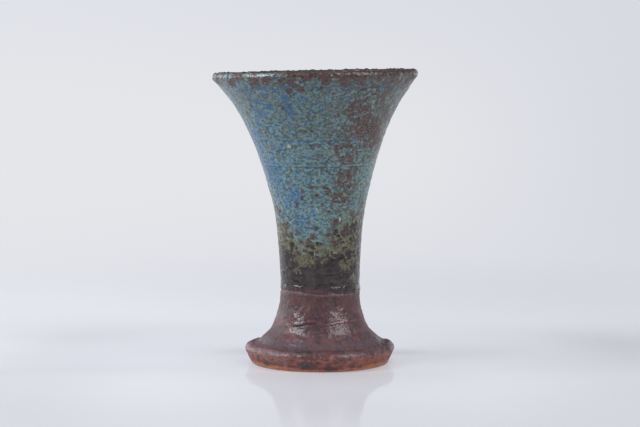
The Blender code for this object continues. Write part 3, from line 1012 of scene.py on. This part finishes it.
def glaze_finish(tree, hues):
    """The outside of the trumpet: turquoise glaze run down over a dark one."""
    height, right, front = placed(tree, "Vase Place")
    melt = placed(tree, "Mottle", size=5.0, contrast=3.0, seed=29.0) - 0.5
    fleck = placed(tree, "Mottle", size=2.0, stretch=0.8, contrast=3.6, seed=31.0) - 0.5
    drop = placed(tree, "Mottle", size=2.4, stretch=0.85, contrast=3.6, seed=33.0) - 0.5
    haze = placed(tree, "Mottle", size=2.4, stretch=0.7, contrast=4.0, seed=39.0)
    line = throwing_lines(height, right, front, 0.5)
    above = throwing_lines(height - 0.9, right, front, 0.5)
    broken = placed(tree, "Blotch", size=6.0, stretch=0.5, amount=0.55, soft=0.06, seed=13.0)

    band, crest = lip_iron(tree, height, right, melt, fleck)
    shares = glaze_shares(tree, height, right, band)
    turquoise, iron, pools, fine = top_glaze(tree, hues, *shares)
    runs = (patches(tree, BLUE_RUNS) + drop * 0.7).rise(0.25, 0.75)
    smear = placed(tree, "Blotch", size=7.0, stretch=0.3, amount=0.55, soft=0.08, seed=15.0)
    smear = smear * height.near(152.3, 1.5) * right.away(0).fall(0.6, 0.85)
    low_lines = height.fall(130, 140)
    burnt = layered(tree, hues.dark_brown, (fine, hues.brown), (drop.rise(0.0, 0.3) * 0.35, hues.red_iron))
    # The top of the lip's crest is darker from the middle to the right.
    dark_crest_top = (height + fleck * 2.0).rise(157.5, 159.5) * right.rise(-0.55, -0.25)
    sparks = placed(tree, "Speckle", spacing=2.2, share=0.35, size=0.26, ragged=0.6)
    turquoise = layered(
        tree, turquoise,
        (runs * 0.85, blend(tree, fine * 0.5, hues.blue, hues.sky)),
        (smear * (drop * 0.6 + 0.6), hues.blue),
        (line * (broken * 0.65 + low_lines * 0.15), hues.blue),
        (above * low_lines * (0.85 - broken * 0.6), hues.turquoise),
        (crest, burnt),
        (dark_crest_top * 0.75, hues.iron_black),
        (sparks * height.rise(152.4, 155.0) * 0.5, hues.bare_clay))

    over = (height - run_edge(tree, right, front)) / RUN_FADE + melt * 0.5
    thick = (over + fleck * 0.6).rise(0.16, 0.46)
    fringe = (over + fleck * 0.4 + drop * 0.5).rise(-0.04, 0.20)
    reach = patches(tree, LOW_RUNS) * 0.6 + patches(tree, ISLETS) * 0.95
    thin = (over + drop * 1.1 + reach).rise(-0.16, 0.20)
    islands = placed(tree, "Blotch", size=4.0, amount=over.near(0.25, 0.7) * 0.55 - 0.1, soft=0.04, seed=47.0)
    hue = layered(
        tree, dark_glaze(tree, hues, height, right, melt, haze, line * broken),
        (thin * (haze * 0.45 + 0.55), blend(tree, fine, hues.umber, hues.olive)),
        (fringe * 0.75, blend(tree, fine, hues.grey_olive, hues.sea_green)),
        (thick, turquoise),
        (islands * 0.85, blend(tree, fine, hues.iron_black, hues.brown)),
        (patches(tree, PALE_SPOTS_AND_GLINTS) * 0.75, hues.milk))

    ends = right.away(0).rise(0.7, 0.95) * height.rise(152, 155)
    rough = 0.29 - height.rise(155, 157) * 0.06 + (iron * 0.1 - pools * 0.04) * thick - (1 - thick) * 0.05
    rough = rough - kept(tree, "bead") * 0.12 + ends * 0.1
    blisters = placed(tree, "Speckle", spacing=2.8, share=0.35, size=0.24, ragged=0.2)
    relief = placed(tree, "Fired Grain", grain=0.9, pits=2.4) + (iron * 0.5 + 0.3) * thick + blisters * 2.0
    return hue, rough, relief, 0.6


def liner_finish(tree, hues):
    """The inside: the same glaze poured thinner, with more of the iron at the lip."""
    height, _, _ = placed(tree, "Vase Place")
    blue = height.fall(30, 120) * 0.4 + 0.2
    brown = height.rise(148.0, 153.0) * 1.1 + 0.15
    hue, iron, pools, _ = top_glaze(tree, hues, blue, brown, 0.5)
    hue = layered(
        tree, hue,
        (height.rise(152.0, 156.0) * 0.6, hues.dark_brown),
        (height.rise(155.5, 158.5) * 0.6, hues.iron_black))
    rough = 0.30 + iron * 0.12 - pools * 0.04
    return hue, rough, placed(tree, "Fired Grain", grain=0.9, pits=2.6) + iron * 0.5, 0.5


def stem_wash(tree, hues, height, right, fine, cloud, left):
    """The wash on the stem and the slope below it."""
    streak = placed(tree, "Mottle", size=4.0, stretch=2.2, contrast=3.0, seed=55.0)
    red = placed(tree, "Blotch", size=2.6, amount=0.5, soft=0.07, detail=2.0, seed=57.0)
    slope = height.near(13.2, 2.1) * (streak * 0.5 + 0.5)
    return layered(
        tree, hues.plum,
        (cloud, hues.dusk_and_shade),
        (streak * height.rise(26, 34) * (0.55 + right.fall(-0.4, 0.2) * 0.25), hues.umber),
        # Painted shade: the right side of the foot is darkened with the dusk colour.
        (right.rise(0.3, 0.9) * 0.65, hues.dusk_and_shade),
        (red * (fine * 0.5 + 0.35), hues.red_iron),
        (fine * (cloud * 0.5 + 0.1), hues.iron_black),
        # The ash is a bloom on the slope. Its extra share on the left is painted light.
        (slope * (left * 0.25 + 0.72), hues.ash_and_sheen))


def flange_wash(tree, hues, stem, height, right, fine, cloud, grit, left, sides):
    """The wash on the flange and its bevel, over that of the stem."""
    bevel = (height + cloud * 1.6 + sides * 2.2).fall(9.0, 11.6)
    rusty = placed(
        tree, "Blotch", size=4.0, stretch=0.6, amount=sides * 0.45 + 0.35 - left * 0.3, soft=0.08, seed=61.0)
    rusty = rusty * bevel * height.fall(7.4, 9.6)
    scuffs = placed(
        tree, "Blotch", size=3.0, stretch=0.5, amount=sides * 0.25 + 0.25, soft=0.06, detail=4.0, seed=63.0)
    crumbs = placed(tree, "Speckle", spacing=1.5, share=sides * 0.25 + 0.2, size=0.3, ragged=0.7)
    on_flange = height.near(7.6, 5.0)
    # Painted shade: the crease under the top of the flange is darkened towards iron black, most at the front
    # and fading towards the sides.
    crease_shade = height.near(10.95, 0.7) * (cloud * 0.6 + 0.4) * right.away(0).fall(0.45, 0.9)
    return layered(
        tree, stem,
        (bevel * 0.85, hues.maroon),
        # Painted sheen: the blush colour lightens the roll of the flange on the left.
        (left * height.near(8.8, 3.2) * (fine * 0.3 + 0.35), hues.blush_and_sheen),
        (rusty * (0.95 - fine * 0.4), hues.rust),
        (scuffs * height.near(6.5, 3.6) * 0.3, hues.bare_clay),
        (crumbs * height.near(6.6, 2.6) * 0.7, hues.crumb),
        (on_flange * grit.rise(0.6, 0.95) * 0.4, hues.iron_black),
        (on_flange * grit.fall(0.05, 0.35) * 0.22, hues.blush_and_sheen),
        (crease_shade * 0.45, hues.iron_black))


def wash_finish(tree, hues):
    """The foot: an iron wash, plum on the stem and rust on the bevel, worn off along the edge."""
    height, right, _ = placed(tree, "Vase Place")
    left = (0 - right).rise(0.2, 0.9)
    sides = right.away(0).rise(0.15, 0.75)
    fine = placed(tree, "Mottle", size=1.4, contrast=3.4, seed=51.0)
    cloud = placed(tree, "Mottle", size=7.0, contrast=2.8, seed=53.0)
    grit = placed(tree, "Mottle", size=1.0, contrast=5.0, seed=65.0)
    hue = stem_wash(tree, hues, height, right, fine, cloud, left)
    hue = flange_wash(tree, hues, hue, height, right, fine, cloud, grit, left, sides)

    dark = patches(tree, DARK_STAINS)
    stain = placed(tree, "Blotch", size=2.6, amount=dark * 1.1 - 0.1, soft=0.07, seed=67.0)
    specks = placed(tree, "Speckle", spacing=2.6, share=0.4, size=0.3, ragged=0.5)
    edge = (height - sides * 0.5).fall(0.2, 2.6 + sides * 1.4)
    worn = placed(
        tree, "Blotch", size=2.6, stretch=0.6, amount=edge * (sides * 0.8 + 0.6) - 0.05, soft=0.1, seed=71.0)
    under_glaze = (height - right.fall(-0.75, 0.25) * 1.2).rise(38.3, 39.0)
    gape = kept(tree, "gape")
    hue = layered(
        tree, hue,
        (stain * dark.rise(0.0, 0.3) * 0.85, hues.charcoal),
        (specks * 0.75, hues.iron_black),
        (worn * edge * (0.9 - dark.rise(0.0, 0.4) * 0.6), hues.bare_clay),
        (under_glaze * 0.25, hues.blush_and_sheen),
        # Painted shade: the joint's gap is painted near black where it gapes.
        (gape.rise(0.25, 0.8) * 0.85, hues.iron_black),
        (kept(tree, "seam_ridge") * 0.5, hues.red_iron))

    rough = 0.31 + specks * 0.12 + gape * 0.3 + cloud * 0.06 - fine * 0.08
    rough = rough + height.fall(11, 16) * 0.1 + height.fall(20, 25) * 0.04 - height.near(27.5, 3.5) * 0.05
    rough = rough + right.away(0).rise(0.6, 0.95) * height.rise(13, 16) * 0.25
    rough = rough - height.near(8.8, 1.8) * grit * (right.rise(-0.7, 0.2) * 0.14 + 0.02)
    blisters = placed(tree, "Speckle", spacing=2.0, share=0.35, size=0.24, ragged=0.2)
    return hue, rough, placed(tree, "Fired Grain", grain=0.9, pits=2.2) + blisters * 1.6, 0.6


def clay_finish(tree, hues):
    """Bare fired clay, with iron specks and pale grains."""
    cloud = placed(tree, "Blotch", size=5.0, amount=0.5, soft=0.14, seed=81.0)
    specks = placed(tree, "Speckle", spacing=1.6, share=0.25, size=0.3, ragged=0.5)
    pale = placed(tree, "Speckle", spacing=2.6, share=0.25, size=0.25, ragged=0.5)
    hue = layered(
        tree, hues.bare_clay,
        (cloud * 0.6, hues.rust),
        (specks * 0.8, hues.clay_iron),
        (pale * 0.5, hues.grog))
    return hue, 0.78 + specks * 0.1, placed(tree, "Fired Grain", grain=0.6, pits=1.8), 0.7


# Pieces


class VASE_OT_glaze(bpy.types.Operator):
    """Make the glaze that covers the outside of the trumpet and its lip"""

    bl_idname = "vase.glaze"
    bl_label = "Melted Glaze"

    def execute(self, context):
        vase = context.scene.vase_sizes
        wall = outside(GLAZE_LINE, RIM, lambda z: 0.32 if z < WAIST else 0.72)
        wall += lip(-LIP_LEAN, COATS_MEET - COATS_HALF_GAP, 12)
        front, back = coat(wall, vase.glaze_thickness / MM, 6)
        throw(
            context, "melted_glaze", front + back, vase.columns, finish_of("melted_glaze", glaze_finish),
            "turquoise_glaze", ("base_glaze", "top_glaze"), lump_size=vase.glaze_lumps,
            grain_height=vase.grain_height, ring_depth=vase.ring_depth, crust_height=vase.crust_height,
            roll_height=vase.roll_height, edge_sway=vase.edge_sway)
        return {"FINISHED"}


class VASE_OT_liner(bpy.types.Operator):
    """Make the glaze that was poured into the vase"""

    bl_idname = "vase.liner"
    bl_label = "Liner Glaze"

    def execute(self, context):
        vase = context.scene.vase_sizes
        rim = lip(COATS_MEET + COATS_HALF_GAP, 180 - LIP_LEAN, 5)
        wall = rim[:-1] + smooth_line((tuple(rim[-1]), *HOLLOW), lambda z: 0.9)
        front, back = coat(wall, vase.glaze_thickness / MM, 6)
        throw(
            context, "poured_liner", back + front, LINER_COLUMNS, finish_of("poured_liner", liner_finish),
            "liner_glaze", ("liner_glaze",), closed=False, lump_size=vase.glaze_lumps,
            grain_height=vase.grain_height, spiral_depth=vase.spiral_depth, crust_height=vase.crust_height)
        return {"FINISHED"}


class VASE_OT_foot_wash(bpy.types.Operator):
    """Make the wash on the foot, with the line of the luted joint"""

    bl_idname = "vase.foot_wash"
    bl_label = "Foot Wash"

    def execute(self, context):
        vase = context.scene.vase_sizes
        wall = outside(WASH_EDGE, WASH_TOP, lambda z: 0.22 if JOINT_LOW < z < JOINT_HIGH else 0.45)
        wall = sunk(wall, lambda z: TUCK_DEPTH * ramp(z, TUCK_START, TUCK_END))
        front, back = coat(wall, vase.wash_thickness / MM, 2)
        throw(
            context, "iron_wash", front + back, WASH_COLUMNS, finish_of("iron_wash", wash_finish),
            "iron_wash", ("foot_wash",), lump_size=vase.wash_lumps, grain_height=vase.grain_height,
            joint_depth=vase.joint_depth, flange_lumps=vase.flange_lumps)
        return {"FINISHED"}


class VASE_OT_clay(bpy.types.Operator):
    """Make the clay of the foot and of the trumpet, and the slip that joins them"""

    bl_idname = "vase.clay"
    bl_label = "Thrown Clay"

    def execute(self, context):
        vase = context.scene.vase_sizes
        finish = finish_of("bare_clay", clay_finish)
        relief = {
            "lump_size": vase.wash_lumps, "joint_depth": vase.joint_depth, "flange_lumps": vase.flange_lumps}
        under_wash = vase.wash_thickness / MM + UNDER_WASH_GAP
        under_glaze = vase.glaze_thickness / MM + UNDER_GLAZE_GAP
        wall = smooth_line(OUTLINE, lambda z: 0.25 if z < 3 else 0.7)
        bed = sunk(smooth_line(HOLLOW[1:], lambda z: 4.0), under_glaze)
        shoulder = SLIP_LOW - SLIP_GAP
        seat = SLIP_HIGH + SLIP_GAP
        rebate = KEY_RADIUS + KEY_GAP
        rebate_top = KEY_TOP + KEY_GAP

        foot = hidden(*[(radius, 0.0) for radius in BASE_RINGS])
        foot += clay_side(wall, lambda z: under_wash * ramp(z, WASH_EDGE, WASH_FULL), 0.0, shoulder)
        foot += hidden((KEY_RADIUS, shoulder), (KEY_RADIUS, KEY_TOP), (WELL_RADIUS, KEY_TOP))
        foot += hidden(*[p for p in bed if p.y < KEY_TOP - WELL_STEP])
        throw(
            context, "foot_clay", foot, FOOT_COLUMNS, finish, "stoneware", ("flared_foot",), closed=False,
            **relief)

        trumpet = clay_side(wall, under_wash, seat, WASH_BED_TOP)
        trumpet += clay_side(wall, under_glaze, GLAZE_BED_LOW, RIM)
        trumpet += hidden(*lip(-17, 120, 4, LIP_CLAY_HALF))
        trumpet += hidden(*[p for p in bed if p.y > KEY_TOP + WELL_STEP])
        trumpet += hidden((WELL_RADIUS, rebate_top), (rebate, rebate_top), (rebate, seat))
        throw(
            context, "trumpet_clay", trumpet, CLAY_COLUMNS, finish, "stoneware", ("trumpet_body",), **relief)

        fine_wall = smooth_line(OUTLINE, lambda z: 0.25)
        slip = hidden((rebate, SLIP_LOW)) + clay_side(fine_wall, under_wash, SLIP_LOW, SLIP_HIGH)
        slip += hidden((rebate, SLIP_HIGH))
        throw(context, "slip_ring", slip, CLAY_COLUMNS, finish, "slip", ("luting_slip",), **relief)
        return {"FINISHED"}


class VASE_OT_studio(bpy.types.Operator):
    """Set the vase in a pale studio, with a camera and soft light"""

    bl_idname = "vase.studio"
    bl_label = "Studio"

    def execute(self, context):
        scene = context.scene
        studio = scene.vase_studio
        self.camera(scene, studio)
        self.lamps(scene, studio)
        self.surroundings(scene, studio)
        self.floor(scene, studio)
        scene.view_settings.view_transform = "Standard"
        return {"FINISHED"}

    def camera(self, scene, studio):
        """The camera, level from side to side."""
        camera = bpy.data.objects.new("camera", bpy.data.cameras.new("camera"))
        camera.location = studio.camera_place
        camera.rotation_euler = (math.pi / 2 - studio.camera_pitch, 0, 0)
        camera.data.lens = studio.lens
        camera.data.sensor_width = SENSOR_WIDTH
        scene.collection.objects.link(camera)
        scene.camera = camera

    def lamps(self, scene, studio):
        """Soft boxes at the sides and overhead, and two white panels behind."""
        for name, place, width, tall, strength in (
            ("left_soft_box", (-1.09, -0.38, 0.97), 0.5, 0.85, studio.left_power),
            ("right_soft_box", (0.97, -0.61, 0.97), 0.7, 1.05, studio.right_power),
            ("top_soft_box", (0.0, 0.1, 1.5), 1.0, 1.0, studio.top_power),
            ("left_panel", (-1.0, 0.75, 0.35), 1.0, 0.7, studio.left_panel_power),
            ("right_panel", (0.75, 1.07, 0.2), 0.9, 0.5, studio.right_panel_power),
        ):
            lamp = bpy.data.lights.new(name, "AREA")
            lamp.shape = "RECTANGLE"
            lamp.size = width
            lamp.size_y = tall
            lamp.energy = strength
            lamp.color = studio.lamp_colour
            box = bpy.data.objects.new(name, lamp)
            box.location = place
            box.rotation_euler = (LAMP_AIM - Vector(place)).to_track_quat("-Z", "Y").to_euler()
            box.visible_camera = False
            scene.collection.objects.link(box)

    def surroundings(self, scene, studio):
        """White surroundings, which look as the backdrop to the camera and in reflections."""
        world = bpy.data.worlds.new("studio")
        scene.world = world
        world.use_nodes = True
        tree = world.node_tree
        tree.nodes.clear()
        x, y, z = parts(tree, Field(tree, tree.nodes.new("ShaderNodeTexCoord").outputs["Generated"]))
        hue = layered(
            tree, studio.backdrop_left,
            (x.rise(-0.2, 0.2), studio.backdrop_right),
            (z.near(-0.05, 0.1) * x.fall(0.02, 0.17) * 0.75, studio.backdrop_glow))
        lit_room = y.rise(0.3, 0.8) * z.fall(0.12, 0.28) * (1 - x.rise(0.2, 0.5) * z.rise(-0.05, 0.05))
        room = blend(tree, lit_room, studio.room, hue)
        mirrored = ray(tree, "Is Glossy Ray").larger(ray(tree, "Is Transmission Ray"))
        inputs = {"Color": studio.surround_colour, "Strength": studio.surround}
        light = add(tree, "ShaderNodeBackground", inputs)
        for look, seen in ((room, mirrored), (hue, ray(tree, "Is Camera Ray"))):
            view = add(tree, "ShaderNodeBackground", {"Color": look, "Strength": 1.0})
            light = shader_mix(tree, seen, light, view)
        tree.links.new(light.outputs[0], tree.nodes.new("ShaderNodeOutputWorld").inputs[0])
        arrange(tree)

    def floor(self, scene, studio):
        """A pale floor that fades into the backdrop."""
        turns = [math.tau * k / FLOOR_SIDES for k in range(FLOOR_SIDES)]
        rings = [(r * math.cos(turn), r * math.sin(turn), 0.0) for r in FLOOR_RADII for turn in turns]
        following = [(k + 1) % FLOOR_SIDES for k in range(FLOOR_SIDES)]
        faces = [(k, n, n + FLOOR_SIDES, k + FLOOR_SIDES) for k, n in enumerate(following)]
        mesh = bpy.data.meshes.new("floor")
        mesh.from_pydata(rings, [], faces)
        mesh.materials.append(self.floor_finish(studio))
        floor = bpy.data.objects.new("floor", mesh)
        scene.collection.objects.link(floor)

    def floor_finish(self, studio):
        """A matt floor with a faint sheen in front. Its shadows are filled, and from below it isn't seen."""
        material = bpy.data.materials.new("floor")
        material.use_nodes = True
        tree = material.node_tree
        tree.nodes.clear()
        x, y, _ = parts(tree, object_place(tree))
        away = number(tree, "SQRT", x * x + y * y)
        # The floor's shade is painted: darker to the right, in front and at the front left, and lighter
        # beside and behind the foot, where the soft boxes cast the vase's shadows.
        shade = 0.99 - x.rise(-0.3, 0.3) * 0.09 + noise(tree, object_place(tree), 40) * 0.02
        shade = shade + y.near(0.05, 0.08) * x.away(0.03).near(0.115, 0.08) * 0.05
        shade = shade - away.rise(0.08, 0.23) * y.fall(0.0, 0.06) * 0.125
        shade = shade - x.fall(-0.15, -0.04) * y.fall(-0.04, 0.0) * 0.07
        hue = scaled(tree, tuple(studio.floor), shade)
        matt = add(tree, "ShaderNodeBsdfDiffuse", {"Color": hue})
        lit = vector(tree, "MULTIPLY", hue, tuple(studio.lamp_colour))
        glow = add(tree, "ShaderNodeEmission", {"Color": lit, "Strength": studio.floor_glow})
        filled = y.rise(-0.06, -0.01) * away.rise(0.03, 0.044) * away.fall(0.12, 0.2) * 0.7
        filled = filled * (1 - y.rise(0.015, 0.04) * away.fall(0.045, 0.08))
        surface = shader_mix(tree, ray(tree, "Is Camera Ray") * filled, matt, glow)
        sheen = add(tree, "ShaderNodeBsdfGlossy", {"Color": (1, 1, 1), "Roughness": 0.07})
        polish = x.away(0).fall(0.02, 0.1) * away.fall(0.13, 0.24) * y.fall(-0.05, 0.01) * 0.24
        surface = shader_mix(tree, polish, surface, sheen)
        below = Field(tree, tree.nodes.new("ShaderNodeNewGeometry").outputs["Backfacing"])
        clear = tree.nodes.new("ShaderNodeBsdfTransparent")
        surface = shader_mix(tree, away.rise(0.12, 0.6).larger(below), surface, clear)
        tree.links.new(surface.outputs[0], tree.nodes.new("ShaderNodeOutputMaterial").inputs[0])
        arrange(tree)
        return material


class VASE_PT_panel(bpy.types.Panel):
    """Sizes and colours of the vase, and its pieces"""

    bl_label = "Stoneware Vase"
    bl_idname = "VASE_PT_panel"
    bl_space_type = "VIEW_3D"
    bl_region_type = "UI"
    bl_category = "Vase"

    def draw(self, context):
        layout = self.layout
        for operator in OPERATORS:
            layout.operator(operator.bl_idname)
        for title, group in (("Sizes", "vase_sizes"), ("Colours", "vase_colours"), ("Studio", "vase_studio")):
            box = layout.box()
            box.label(text=title)
            values = getattr(context.scene, group)
            for name in values.__annotations__:
                box.prop(values, name)


OPERATORS = (VASE_OT_glaze, VASE_OT_liner, VASE_OT_foot_wash, VASE_OT_clay, VASE_OT_studio)
CLASSES = (VaseSizes, VaseColours, VaseStudio, *OPERATORS, VASE_PT_panel)


def register():
    for cls in CLASSES:
        bpy.utils.register_class(cls)
    bpy.types.Scene.vase_sizes = bpy.props.PointerProperty(type=VaseSizes)
    bpy.types.Scene.vase_colours = bpy.props.PointerProperty(type=VaseColours)
    bpy.types.Scene.vase_studio = bpy.props.PointerProperty(type=VaseStudio)


def unregister():
    del bpy.types.Scene.vase_studio
    del bpy.types.Scene.vase_colours
    del bpy.types.Scene.vase_sizes
    for cls in reversed(CLASSES):
        bpy.utils.unregister_class(cls)


def main():
    register()
    bpy.ops.vase.studio()
    bpy.ops.vase.glaze()
    bpy.ops.vase.liner()
    bpy.ops.vase.foot_wash()
    bpy.ops.vase.clay()


if __name__ == "__main__":
    main()
